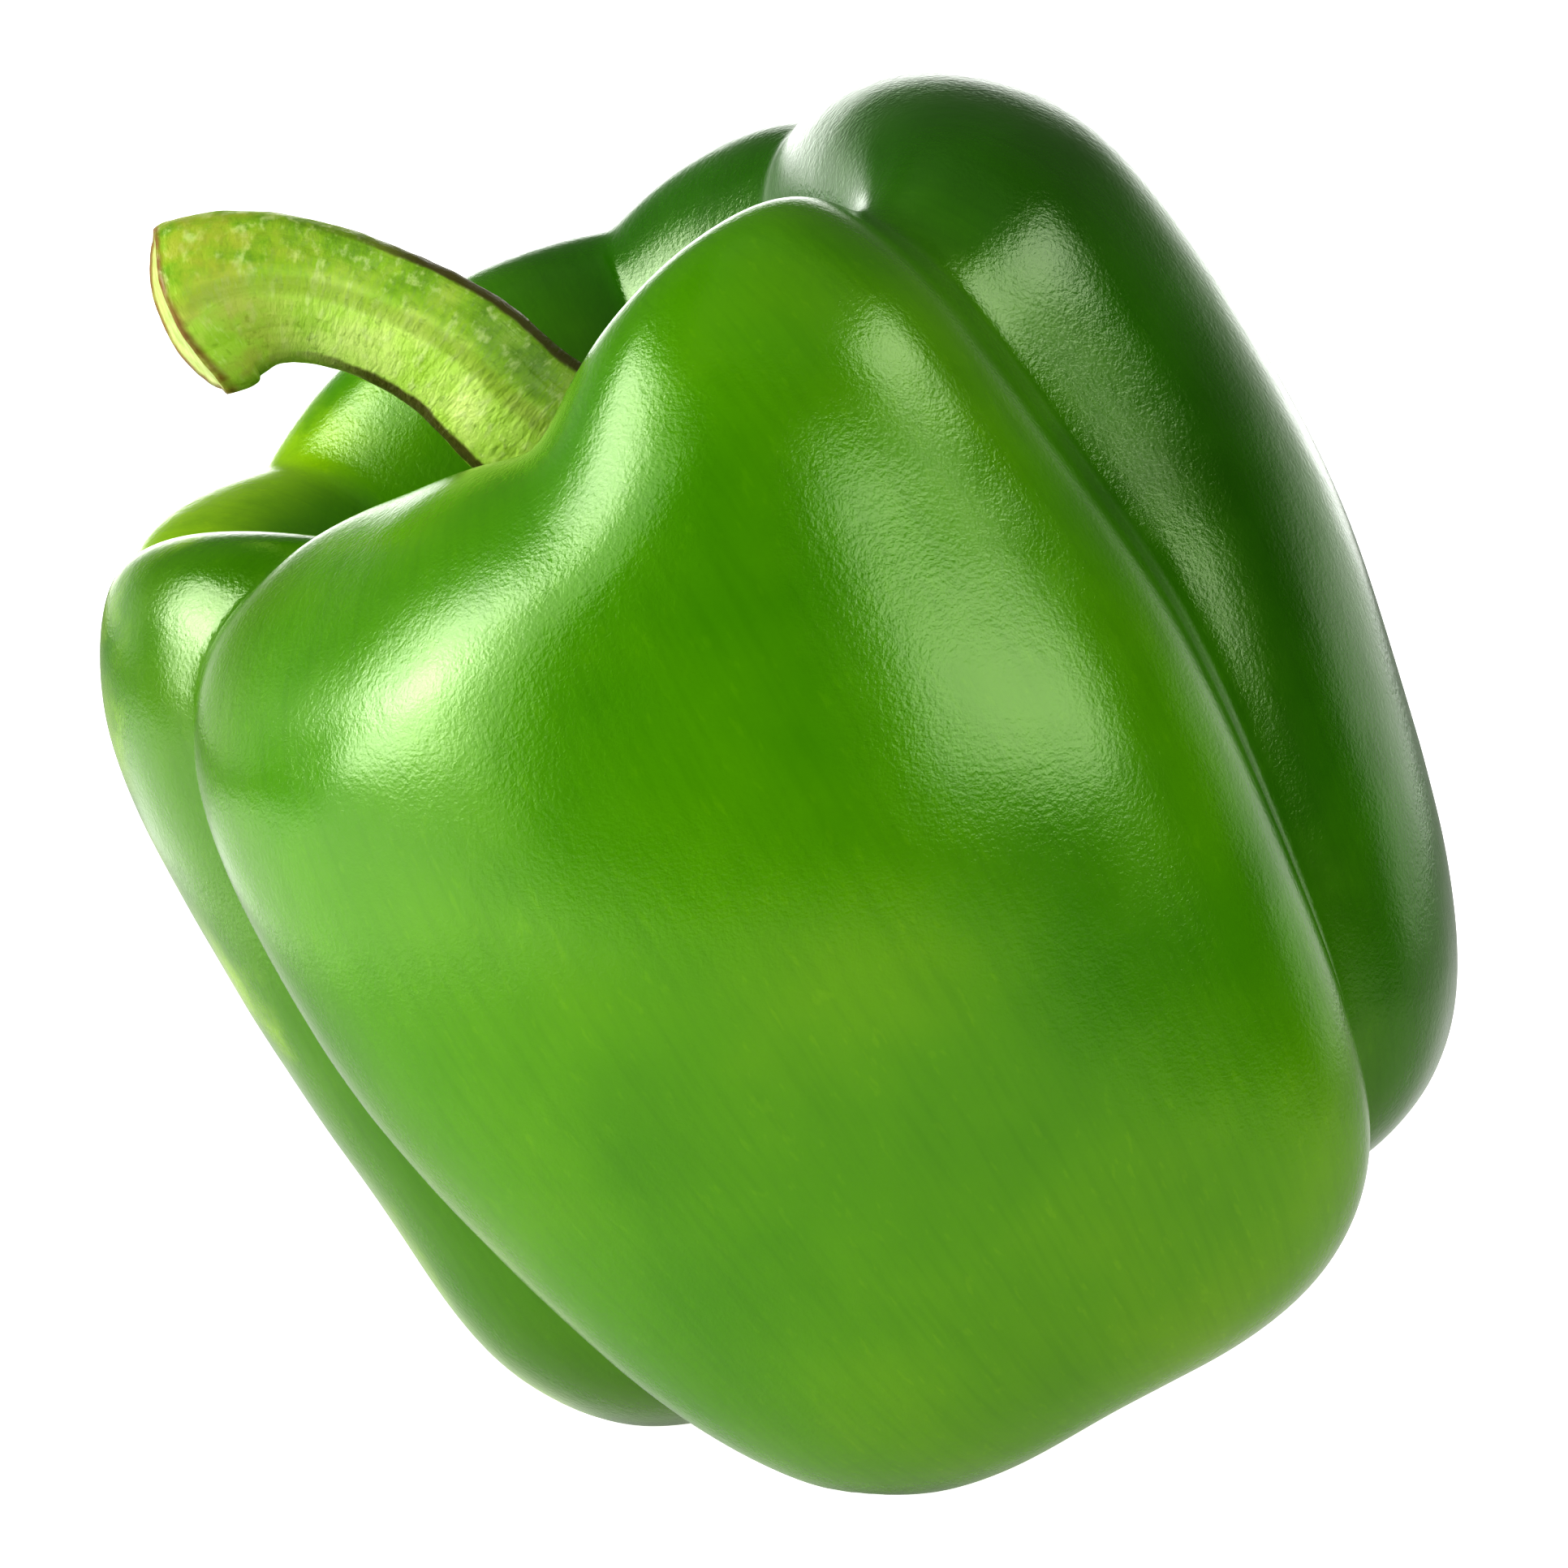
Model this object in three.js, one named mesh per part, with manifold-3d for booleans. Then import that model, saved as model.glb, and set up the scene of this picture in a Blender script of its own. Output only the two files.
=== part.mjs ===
// A large green bell pepper, whole, leaning on three of its lobes as it lies on a table.
// Three pieces: the lobed fruit, the calyx pressed into its stem pit, and the cut, hooked stem.
// Lengths are millimetres and angles are degrees. Up is +Z, the front of the pepper faces -Y.
import * as THREE from "three";
import { mergeVertices } from "three/addons/utils/BufferGeometryUtils.js";
import Module from "manifold-3d";

// ---- Driving dimensions -------------------------------------------------------------------------

const LEAN = 30; // the stem end leans this far towards -X
const TIP_BACK = 6; // and this far towards +Y
const FLAT_DEPTH = 0.6; // how much of the lowest lobe feet is pressed flat by the table

const PIT_FLOOR = 66; // height of the stem pit's floor above the base
const BLOSSOM_LEVEL = 7; // height of the dimple at the blossom end

const FRUIT_COLUMNS = 84; // facets around the fruit
const FRUIT_ROWS = 42; // facets from the stem pit over the shoulder to the blossom end

const CALYX_GAP = 0.4; // clearance between the calyx and the pit floor
const CALYX_THICKNESS = 1.5;
const CALYX_THINNING = 0.6; // share of the thickness lost by the sepals' edge
const CALYX_POINTS = 5;
const CALYX_REACH = 1.7; // how far the sepals run up the pit, in rows of the skin's outline
const CALYX_SCALLOP = 0.45; // how far they draw back between the points
const CALYX_COLUMNS = 50;
const CALYX_ROWS = 4;

const STEM_GAP = 0.4; // clearance between the stem's foot and the calyx
const STEM_RIBS = 5;
const STEM_RIB_DEPTH = 0.05; // share of the stem's radius
const STEM_SIDES = 30;
const STEM_STEPS = 22;

const TABLE_SPAN = 300; // size of the slab that trims the feet
const TABLE_THICKNESS = 20;

const GREEN = 0x3f8f0a;
const CALYX_GREEN = 0x6f9a2a;
const STEM_GREEN = 0x8fb832;

// The lobes, going round the fruit. The front faces 270 degrees and the right side 0.
// crest is the rim round the stem pit, and slope is how far the top falls away from it before the
// shoulder. The four radii follow the side down, and foot is the level of the lobe's lower end.
const LOBES = [
  {
    angle: 228, crest: 19, crestHeight: 79.5, slope: 4,
    shoulder: 46, waist: 48, hip: 39, sole: 28, foot: -3.4,
  },
  {
    angle: 286, crest: 32, crestHeight: 85.5, slope: 0,
    shoulder: 43, waist: 46.5, hip: 39.5, sole: 27, foot: -5.2,
  },
  {
    angle: 355, crest: 24.5, crestHeight: 91, slope: 0,
    shoulder: 44.5, waist: 46.5, hip: 38, sole: 23.5, foot: 3.5,
  },
  {
    angle: 60, crest: 31, crestHeight: 94.5, slope: 0,
    shoulder: 47.5, waist: 44.5, hip: 38, sole: 26, foot: 4.5,
  },
  {
    angle: 112, crest: 24, crestHeight: 94.5, slope: 0,
    shoulder: 45, waist: 44, hip: 38, sole: 26, foot: -5.0,
  },
  {
    angle: 153, crest: 43.5, crestHeight: 92, slope: 0,
    shoulder: 51, waist: 46.5, hip: 41, sole: 27, foot: 3,
  },
  {
    angle: 180, crest: 37, crestHeight: 89, slope: 0,
    shoulder: 48.5, waist: 52, hip: 51, sole: 31, foot: 8.0,
  },
];

// The creases between the lobes. Each has six levels: pit, crest, shoulder, waist, hip and foot.
// width is the angle in which a crease dies away, and softness rounds its bottom. lean makes it
// steeper on the side of the larger angles, or of the smaller ones where it is negative.
const CREASES = [
  { // front lobe to left lobe
    angle: [210, 201, 194, 198, 203, 204],
    depth: [2, 3.5, 7, 8.5, 8.5, 6],
    width: [12, 11, 11, 11, 13, 17],
    softness: [0.15, 0.12, 0.08, 0.1, 0.25, 0.4],
    lean: 0.35,
  },
  { // fold in the left lobe's shoulder
    angle: [165, 167, 165, 163, 164, 165],
    depth: [2, 4.5, 3.5, 1, 0.5, 2],
    width: [9, 9, 9, 12, 14, 14],
    softness: [0.15, 0.15, 0.3, 0.5, 0.5, 0.5],
    lean: 0.2,
  },
  { // left lobe to rear lobe
    angle: [139, 137, 139, 141, 141, 141],
    depth: [2, 4.5, 6, 5.5, 5, 5],
    width: [12, 12, 12, 12, 14, 16],
    softness: [0.15, 0.15, 0.15, 0.2, 0.3, 0.4],
    lean: 0,
  },
  { // middle of the rear
    angle: [78, 76, 79, 82, 84, 84],
    depth: [1.5, 3, 4, 4, 4, 4],
    width: [12, 12, 12, 13, 14, 16],
    softness: [0.15, 0.15, 0.15, 0.2, 0.3, 0.4],
    lean: 0,
  },
  { // rear lobe to right lobe
    angle: [38, 36, 35, 40, 42, 42],
    depth: [0.5, 2.5, 6, 6, 5.5, 5],
    width: [12, 12, 12, 12, 14, 16],
    softness: [0.15, 0.15, 0.15, 0.2, 0.3, 0.4],
    lean: 0,
  },
  { // right lobe to front lobe
    angle: [330, 322, 317, 318, 319, 320],
    depth: [3, 9, 8, 6, 6, 4],
    width: [14, 16, 15, 12, 11, 14],
    softness: [0.3, 0.5, 0.4, 0.15, 0.08, 0.1],
    lean: -0.3,
  },
  { // shallow valley down the middle of the front lobe
    angle: [257, 257, 262, 264, 264, 261],
    depth: [3, 6, 2.5, 0.3, 0.5, 2],
    width: [14, 15, 18, 20, 18, 18],
    softness: [0.25, 0.3, 1, 1, 1, 1],
    lean: 0,
  },
];

// The stem's centre line, from the calyx to the cut end, before the pepper is laid down.
const STEM_PATH = [
  [0, 0, PIT_FLOOR + CALYX_GAP + CALYX_THICKNESS + STEM_GAP],
  [-2.2, 0, 74],
  [-5.6, 0, 81],
  [-8.1, 0, 88.4],
  [-12.3, 0, 94.7],
  [-16.2, -0.3, 98.5],
  [-19.9, -0.8, 100.4],
  [-24.5, -1.5, 101.1],
];
// The stem's half height and half depth at even steps along it: it flares like a hoof at the cut.
const STEM_HALF_HEIGHT = [5.8, 5.8, 5.7, 5.4, 5.1, 5.0, 5.3, 6.6];
const STEM_HALF_DEPTH = [5.8, 5.8, 5.6, 5.3, 5.0, 5.0, 5.2, 5.8];

// ---- Curves ----------------------------------------------------------------------------------------

const OUTLINE_POINTS = 16; // control points of the skin's outline, from pit to blossom end
const LAST_ROW = OUTLINE_POINTS - 1;
const FIRST_LEVEL = 2.4; // place of the pit level along the outline
const LEVEL_STEP = 2; // and the outline between one level and the next
const LOBE_REACH = 0.55; // share of the gap to its neighbours that a lobe's shape reaches

const radians = THREE.MathUtils.degToRad;

function angleBetween(a, b) {
  return THREE.MathUtils.euclideanModulo(a - b + 180, 360) - 180;
}

// The four weights of a cubic B-spline, and their slopes, at u between two control points.
function splineWeights(u) {
  const v = 1 - u;
  return [
    v ** 3 / 6,
    (3 * u ** 3 - 6 * u ** 2 + 4) / 6,
    (-3 * u ** 3 + 3 * u ** 2 + 3 * u + 1) / 6,
    u ** 3 / 6,
  ];
}

function splineSlopes(u) {
  const v = 1 - u;
  return [-v * v / 2, (3 * u * u - 4 * u) / 2, (-3 * u * u + 2 * u + 1) / 2, (u * u) / 2];
}

// A smooth value between a list's even steps, carried straight on past both ends.
function smoothValue(list, place) {
  const last = list.length - 1;
  const t = THREE.MathUtils.clamp(place, 0, last);
  const i = Math.min(Math.floor(t), last - 1);
  const at = (k) => {
    if (k < 0) return 2 * list[0] - list[1];
    if (k > last) return 2 * list[last] - list[last - 1];
    return list[k];
  };
  return splineWeights(t - i).reduce((sum, w, k) => sum + w * at(i + k - 1), 0);
}

// ---- The skin ----------------------------------------------------------------------------------------

function lobeWidth(i) {
  const before = LOBES[(i + LOBES.length - 1) % LOBES.length];
  const after = LOBES[(i + 1) % LOBES.length];
  const gaps = Math.abs(angleBetween(LOBES[i].angle, before.angle))
    + Math.abs(angleBetween(after.angle, LOBES[i].angle));
  return (gaps / 2) * LOBE_REACH;
}

// The lobes' sizes, blended smoothly from one lobe into the next.
function sizesAt(angle) {
  const sizes = {
    crest: 0, crestHeight: 0, slope: 0, shoulder: 0, waist: 0, hip: 0, sole: 0, foot: 0,
  };
  let total = 0;
  LOBES.forEach((lobe, i) => {
    const weight = Math.exp(-0.5 * (angleBetween(angle, lobe.angle) / lobeWidth(i)) ** 2);
    total += weight;
    for (const name of Object.keys(sizes)) sizes[name] += weight * lobe[name];
  });
  for (const name of Object.keys(sizes)) sizes[name] /= total;
  return sizes;
}

// Control points [radius, height] of the outline at one angle, from the pit to the blossom end.
function outlineAt(angle) {
  const { crest, crestHeight, slope, shoulder, waist, hip, sole, foot } = sizesAt(angle);
  const wall = crestHeight - PIT_FLOOR;
  const side = crestHeight - foot;
  return [
    [0, PIT_FLOOR],
    [0.3 * crest, PIT_FLOOR],
    [0.55 * crest, PIT_FLOOR + 0.22 * wall],
    [0.7 * crest, PIT_FLOOR + 0.8 * wall],
    [0.95 * crest, crestHeight + 1.5],
    [(crest + shoulder) / 2, crestHeight + 0.8 - slope],
    [1.02 * shoulder - 0.6 * slope, foot + 0.88 * side - 0.6 * slope],
    [1.04 * shoulder, foot + 0.7 * side],
    [waist, foot + 0.5 * side],
    [0.55 * waist + 0.45 * hip, foot + 0.33 * side],
    [1.03 * hip, foot + 0.17 * side],
    [0.6 * hip + 0.4 * sole + 1, foot + 0.03 * side],
    [sole, foot - 2],
    [0.62 * sole, foot - 0.5],
    [0.3 * sole, BLOSSOM_LEVEL],
    [0, BLOSSOM_LEVEL],
  ];
}

// How deep the creases draw the skin in.
function creaseDepth(angle, row) {
  const level = (row - FIRST_LEVEL) / LEVEL_STEP;
  const pitFade = Math.min(row / FIRST_LEVEL, 1) ** 1.5;
  const lastLevel = FIRST_LEVEL + 5 * LEVEL_STEP;
  const blossomFade = Math.min((LAST_ROW - row) / (LAST_ROW - lastLevel), 1) ** 1.5;
  let depth = 0;
  for (const crease of CREASES) {
    const softness = Math.max(smoothValue(crease.softness, level), 0.03);
    const gap = angleBetween(angle, smoothValue(crease.angle, level));
    const width = smoothValue(crease.width, level) * (1 - crease.lean * Math.sign(gap));
    const away = gap / width;
    const shape = Math.exp(softness - Math.hypot(away, softness));
    depth += Math.max(smoothValue(crease.depth, level), 0) * shape;
  }
  return depth * pitFade * blossomFade;
}

// A point of the skin, raised by lift along its normal. row runs from 0 in the pit to LAST_ROW.
function skinPoint(angle, row, lift = 0) {
  const outline = outlineAt(angle);
  const i = Math.min(Math.floor(row), LAST_ROW - 1);
  const at = (k) => {
    if (k < 0) return [-outline[1][0], outline[1][1]];
    if (k > LAST_ROW) return [-outline[LAST_ROW - 1][0], outline[LAST_ROW - 1][1]];
    return outline[k];
  };
  const weights = splineWeights(row - i);
  const slopes = splineSlopes(row - i);
  let [radius, height, slopeOut, slopeUp] = [0, 0, 0, 0];
  for (let k = 0; k < 4; k += 1) {
    const [r, z] = at(i + k - 1);
    radius += weights[k] * r;
    height += weights[k] * z;
    slopeOut += slopes[k] * r;
    slopeUp += slopes[k] * z;
  }
  const length = Math.hypot(slopeOut, slopeUp);
  const move = lift - creaseDepth(angle, row);
  radius -= (slopeUp / length) * move;
  height += (slopeOut / length) * move;
  const turn = radians(angle);
  return new THREE.Vector3(radius * Math.cos(turn), radius * Math.sin(turn), height);
}

// ---- Closed meshes -----------------------------------------------------------------------------------

// A closed skin over rings of points, from a first tip to a last tip. The rings run anticlockwise
// as seen from the first tip's side.
function closedSkin(firstTip, rings, lastTip) {
  const sides = rings[0].length;
  const points = [firstTip, ...rings.flat(), lastTip];
  const index = [];
  const at = (ring, side) => 1 + ring * sides + (side % sides);
  for (let side = 0; side < sides; side += 1) {
    index.push(0, at(0, side), at(0, side + 1));
    index.push(points.length - 1, at(rings.length - 1, side + 1), at(rings.length - 1, side));
    for (let ring = 0; ring + 1 < rings.length; ring += 1) {
      index.push(at(ring, side), at(ring + 1, side), at(ring + 1, side + 1));
      index.push(at(ring, side), at(ring + 1, side + 1), at(ring, side + 1));
    }
  }
  const geometry = new THREE.BufferGeometry().setFromPoints(points);
  geometry.setIndex(index);
  return geometry;
}

function fruitGeometry() {
  const rings = [];
  for (let row = 1; row < FRUIT_ROWS; row += 1) {
    const ring = [];
    for (let column = 0; column < FRUIT_COLUMNS; column += 1) {
      ring.push(skinPoint((column * 360) / FRUIT_COLUMNS, (row * LAST_ROW) / FRUIT_ROWS));
    }
    rings.push(ring);
  }
  return closedSkin(
    new THREE.Vector3(0, 0, PIT_FLOOR),
    rings,
    new THREE.Vector3(0, 0, BLOSSOM_LEVEL),
  );
}

// The sepals' edge, as a row of the skin: it reaches up the pit at each point of the star.
function calyxEdge(angle) {
  return CALYX_REACH - CALYX_SCALLOP * (0.5 - 0.5 * Math.cos(radians(angle * CALYX_POINTS)));
}

// The calyx lies on the pit floor: its underside follows the skin, and its top thins to the edge.
function calyxGeometry() {
  const ringAt = (share, lift) => {
    const ring = [];
    for (let column = 0; column < CALYX_COLUMNS; column += 1) {
      const angle = (column * 360) / CALYX_COLUMNS;
      ring.push(skinPoint(angle, calyxEdge(angle) * share, lift));
    }
    return ring;
  };
  const rings = [];
  for (let row = 1; row <= CALYX_ROWS; row += 1) {
    const share = row / CALYX_ROWS;
    rings.push(ringAt(share, CALYX_GAP + CALYX_THICKNESS * (1 - CALYX_THINNING * share ** 2)));
  }
  for (let row = CALYX_ROWS; row >= 1; row -= 1) rings.push(ringAt(row / CALYX_ROWS, CALYX_GAP));
  const top = new THREE.Vector3(0, 0, PIT_FLOOR + CALYX_GAP + CALYX_THICKNESS);
  return closedSkin(top, rings, new THREE.Vector3(0, 0, PIT_FLOOR + CALYX_GAP));
}

// The stem: a ribbed round section carried along its centre line.
function stemGeometry() {
  const path = new THREE.CatmullRomCurve3(STEM_PATH.map((point) => new THREE.Vector3(...point)));
  const sideways = new THREE.Vector3(0, 1, 0);
  const rings = [];
  for (let step = 0; step <= STEM_STEPS; step += 1) {
    const share = step / STEM_STEPS;
    const centre = path.getPointAt(share);
    const along = step === 0 ? new THREE.Vector3(0, 0, 1) : path.getTangentAt(share);
    const upper = new THREE.Vector3().crossVectors(sideways, along).normalize();
    const across = new THREE.Vector3().crossVectors(upper, along).normalize();
    const halfHeight = smoothValue(STEM_HALF_HEIGHT, share * (STEM_HALF_HEIGHT.length - 1));
    const halfDepth = smoothValue(STEM_HALF_DEPTH, share * (STEM_HALF_DEPTH.length - 1));
    const ring = [];
    for (let side = 0; side < STEM_SIDES; side += 1) {
      const turn = (side * 2 * Math.PI) / STEM_SIDES;
      const rib = 1 + STEM_RIB_DEPTH * Math.cos(turn * STEM_RIBS);
      const point = centre.clone();
      point.addScaledVector(upper, Math.cos(turn) * halfHeight * rib);
      point.addScaledVector(across, Math.sin(turn) * halfDepth * rib);
      ring.push(point);
    }
    rings.push(ring);
  }
  return closedSkin(path.getPointAt(0), rings, path.getPointAt(1));
}

// ---- Laying the pepper down ----------------------------------------------------------------------------

function layDown(geometry) {
  geometry.rotateY(radians(-LEAN));
  geometry.rotateX(radians(-TIP_BACK));
  return geometry;
}

// Cuts off everything below the table top at Z = 0, which leaves the flat spots on the lobe feet.
function cutAtTable(geometry, wasm) {
  const solidOf = (source) => new wasm.Manifold(new wasm.Mesh({
    numProp: 3,
    vertProperties: source.getAttribute("position").array,
    triVerts: Uint32Array.from(source.getIndex().array),
  }));
  const table = new THREE.BoxGeometry(TABLE_SPAN, TABLE_SPAN, TABLE_THICKNESS);
  table.translate(0, 0, -TABLE_THICKNESS / 2);
  table.deleteAttribute("normal");
  table.deleteAttribute("uv");
  const cut = solidOf(geometry).subtract(solidOf(mergeVertices(table))).getMesh();
  const result = new THREE.BufferGeometry();
  result.setAttribute("position", new THREE.BufferAttribute(cut.vertProperties, 3));
  result.setIndex(new THREE.BufferAttribute(cut.triVerts, 1));
  return result;
}

function piece(name, geometry, color, roughness) {
  geometry.computeVertexNormals();
  const mesh = new THREE.Mesh(
    geometry,
    new THREE.MeshStandardMaterial({ color, roughness, metalness: 0 }),
  );
  mesh.name = name;
  return mesh;
}

const wasm = await Module();
wasm.setup();

const fruit = layDown(fruitGeometry());
const calyx = layDown(calyxGeometry());
const stem = layDown(stemGeometry());

// The origin is under the middle of the whole pepper, on the table.
const box = new THREE.Box3();
for (const geometry of [fruit, calyx, stem]) {
  geometry.computeBoundingBox();
  box.union(geometry.boundingBox);
}
const middle = box.getCenter(new THREE.Vector3());
for (const geometry of [fruit, calyx, stem]) {
  geometry.translate(-middle.x, -middle.y, -box.min.z - FLAT_DEPTH);
}

const pepper = new THREE.Group();
pepper.name = "bell_pepper";
pepper.add(piece("fruit", cutAtTable(fruit, wasm), GREEN, 0.3));
pepper.add(piece("calyx", calyx, CALYX_GREEN, 0.6));
pepper.add(piece("stem", stem, STEM_GREEN, 0.6));

export default pepper;
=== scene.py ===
# %% [markdown]
# # A green bell pepper
#
# A whole bell pepper leans on three of its lobes, the way a heavy-shouldered fruit settles on a
# table. There are three things to make: the lobed fruit with its waxy skin, the calyx pressed into
# the stem pit, and the ribbed stem that hooks over and ends in a cut.
#
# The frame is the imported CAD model. It says where each piece is and how large it is, so every
# piece made here is placed by the frame's own boxes, in metres.

# %% Load the frame
import math

import bpy
import numpy as np
from mathutils import Matrix, Vector


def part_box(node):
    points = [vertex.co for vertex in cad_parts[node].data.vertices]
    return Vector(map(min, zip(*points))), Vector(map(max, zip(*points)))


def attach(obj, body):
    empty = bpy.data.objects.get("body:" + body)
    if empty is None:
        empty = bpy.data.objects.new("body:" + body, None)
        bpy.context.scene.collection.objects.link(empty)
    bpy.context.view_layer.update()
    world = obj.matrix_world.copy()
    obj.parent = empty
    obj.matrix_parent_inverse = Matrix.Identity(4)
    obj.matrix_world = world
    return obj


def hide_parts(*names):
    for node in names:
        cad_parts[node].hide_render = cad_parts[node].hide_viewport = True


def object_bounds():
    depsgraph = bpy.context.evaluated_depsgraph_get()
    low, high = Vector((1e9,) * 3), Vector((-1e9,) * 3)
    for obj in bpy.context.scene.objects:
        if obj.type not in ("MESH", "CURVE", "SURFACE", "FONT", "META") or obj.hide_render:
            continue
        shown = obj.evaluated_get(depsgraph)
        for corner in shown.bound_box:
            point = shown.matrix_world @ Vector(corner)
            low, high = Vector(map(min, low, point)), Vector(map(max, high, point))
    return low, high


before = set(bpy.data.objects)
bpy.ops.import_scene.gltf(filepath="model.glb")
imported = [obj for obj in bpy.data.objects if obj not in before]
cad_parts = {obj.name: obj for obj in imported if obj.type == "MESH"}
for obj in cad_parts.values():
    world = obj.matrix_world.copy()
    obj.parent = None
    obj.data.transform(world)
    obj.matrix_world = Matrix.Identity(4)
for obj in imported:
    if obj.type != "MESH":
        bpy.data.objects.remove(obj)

cad_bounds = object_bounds()
MM = 0.001


# %% [markdown]
# ## The pepper's own pose
#
# A pepper is easiest to describe upright, with its stem on top. So each piece is built upright and
# then laid down: tilted towards its left and a little backwards, and lowered until its lowest lobes
# press flat on the table.

# %% The upright pepper's tilt
LEAN = math.radians(30.0)
TIP_BACK = math.radians(6.0)
LAY_DOWN = Matrix.Rotation(-TIP_BACK, 4, "X") @ Matrix.Rotation(-LEAN, 4, "Y")


# %% [markdown]
# ## The fruit: what the shape is
#
# A bell pepper is a ring of fat lobes. Cut it from top to bottom through any lobe and the outline
# climbs out of the stem pit, rolls over the shoulder, runs down a slightly tapering side, and turns
# in under the foot to the dimple at the blossom end. Between lobes the skin is drawn in along a
# crease. It could be sculpted, or grown from merged balls, but then nothing about it could be
# stated or changed. Here each lobe has a few sizes, the outline between lobes is blended smoothly,
# and each crease is a path that draws the skin in along its own normal.

# %% The lobes' sizes
# Each has its angle (degrees), then in mm: crest radius, crest height, shoulder, waist, hip and
# sole radius, foot level, and how far the top slopes away from the crest before the shoulder.
LOBES = [
    (228, 19, 79.5, 46, 48, 39, 28, -3.4, 4),
    (286, 32, 85.5, 43, 46.5, 39.5, 27, -5.2, 0),
    (355, 24.5, 91, 44.5, 46.5, 38, 23.5, 3.5, 0),
    (60, 31, 94.5, 47.5, 44.5, 38, 26, 4.5, 0),
    (112, 24, 94.5, 45, 44, 38, 26, -5, 0),
    (153, 43.5, 92, 51, 46.5, 41, 27, 3, 0),
    (180, 37, 89, 48.5, 52, 51, 31, 8, 0),
]
PIT_FLOOR = 66.0  # mm, height of the pit's floor, where the stem grows
BLOSSOM_LEVEL = 7.0  # mm, height of the dimple at the blossom end
LOBE_REACH = 0.55  # share of the gap to its neighbours that a lobe's sizes reach
print(len(LOBES), "lobes, the highest crest at", max(lobe[2] for lobe in LOBES), "mm")


# %% Sizes at any angle, blended from lobe to lobe
def lobe_sizes(turn):
    """Sizes at each angle of turn (degrees), blended from one lobe into the next."""
    table = np.array(LOBES)
    angles = table[:, 0]
    gap_after = (np.roll(angles, -1) - angles) % 360
    reach = 0.5 * (gap_after + np.roll(gap_after, 1)) * LOBE_REACH
    away = (turn[:, None] - angles + 180) % 360 - 180
    weight = np.exp(-0.5 * (away / reach) ** 2)
    weight /= weight.sum(axis=1, keepdims=True)
    return (weight @ table[:, 1:]).T


# %% The outline at each angle, as control points from the pit to the blossom end
def outline_points(turn):
    crest, crest_height, shoulder, waist, hip, sole, foot, slope = lobe_sizes(turn)
    wall = crest_height - PIT_FLOOR
    side = crest_height - foot
    level = np.ones_like(crest)
    points = [
        (0 * level, PIT_FLOOR * level),
        (0.3 * crest, PIT_FLOOR * level),
        (0.55 * crest, PIT_FLOOR + 0.22 * wall),
        (0.7 * crest, PIT_FLOOR + 0.8 * wall),
        (0.95 * crest, crest_height + 1.5),
        ((crest + shoulder) / 2, crest_height + 0.8 - slope),
        (1.02 * shoulder - 0.6 * slope, foot + 0.88 * side - 0.6 * slope),
        (1.04 * shoulder, foot + 0.7 * side),
        (waist, foot + 0.5 * side),
        (0.55 * waist + 0.45 * hip, foot + 0.33 * side),
        (1.03 * hip, foot + 0.17 * side),
        (0.6 * hip + 0.4 * sole + 1, foot + 0.03 * side),
        (sole, foot - 2),
        (0.62 * sole, foot - 0.5),
        (0.3 * sole, BLOSSOM_LEVEL * level),
        (0 * level, BLOSSOM_LEVEL * level),
    ]
    return np.array([p[0] for p in points]), np.array([p[1] for p in points])


print(len(outline_points(np.zeros(1))[0]), "control points on each outline")


# %% A smooth curve through the outline, spun round the pepper's axis
LAST_ROW = 15.0  # place of the blossom end along the outline


def spline_rows(row):
    """B-spline weights and slopes that turn control points into points at each row."""
    first = np.minimum(np.floor(row).astype(int), int(LAST_ROW) - 1)
    u = row - first
    v = 1 - u
    weight = np.array([v**3, 3*u**3 - 6*u**2 + 4, -3*u**3 + 3*u**2 + 3*u + 1, u**3]) / 6
    slope = np.array([-v**2, 3*u**2 - 4*u, -3*u**2 + 2*u + 1, u**2]) / 2
    weights = np.zeros((len(row), int(LAST_ROW) + 3))
    slopes = np.zeros_like(weights)
    for k in range(4):
        weights[np.arange(len(row)), first + k] = weight[k]
        slopes[np.arange(len(row)), first + k] = slope[k]
    return weights, slopes


def around(turn):
    """Cosine and sine of angles in degrees."""
    return np.cos(np.radians(turn)), np.sin(np.radians(turn))


def smooth_skin(turn, row):
    """Points and outward normals of the skin before creasing, for all turns at all rows."""
    radius, height = outline_points(turn)
    radius = np.vstack([-radius[1], radius, -radius[-2]])
    height = np.vstack([height[1], height, height[-2]])
    weights, slopes = spline_rows(row)
    r, z = weights @ radius, weights @ height
    slope_r, slope_z = slopes @ radius, slopes @ height
    length = np.hypot(slope_r, slope_z)
    out_r, out_z = -slope_z / length, slope_r / length
    cos, sin = around(turn)
    points = np.stack([r * cos, r * sin, z], axis=-1)
    normals = np.stack([out_r * cos, out_r * sin, out_z], axis=-1)
    return points, normals


all_round = smooth_skin(np.arange(360.0), np.linspace(0, LAST_ROW, 60))[0]
print("smooth shape spans", np.ptp(all_round.reshape(-1, 3), axis=0).round(1), "mm")


# %% [markdown]
# ## A closed skin from rings of points
#
# Every piece here is a stack of rings with a tip at each end: the fruit, the calyx and the stem.
# One helper turns such a stack into a mesh with no open edge, and stores on each vertex what the
# later steps ask for, such as its angle and how far along it lies.

# %% Build a closed mesh from rings
def into_scene(name, data):
    thing = bpy.data.objects.new(name, data)
    bpy.context.scene.collection.objects.link(thing)
    return thing


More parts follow.
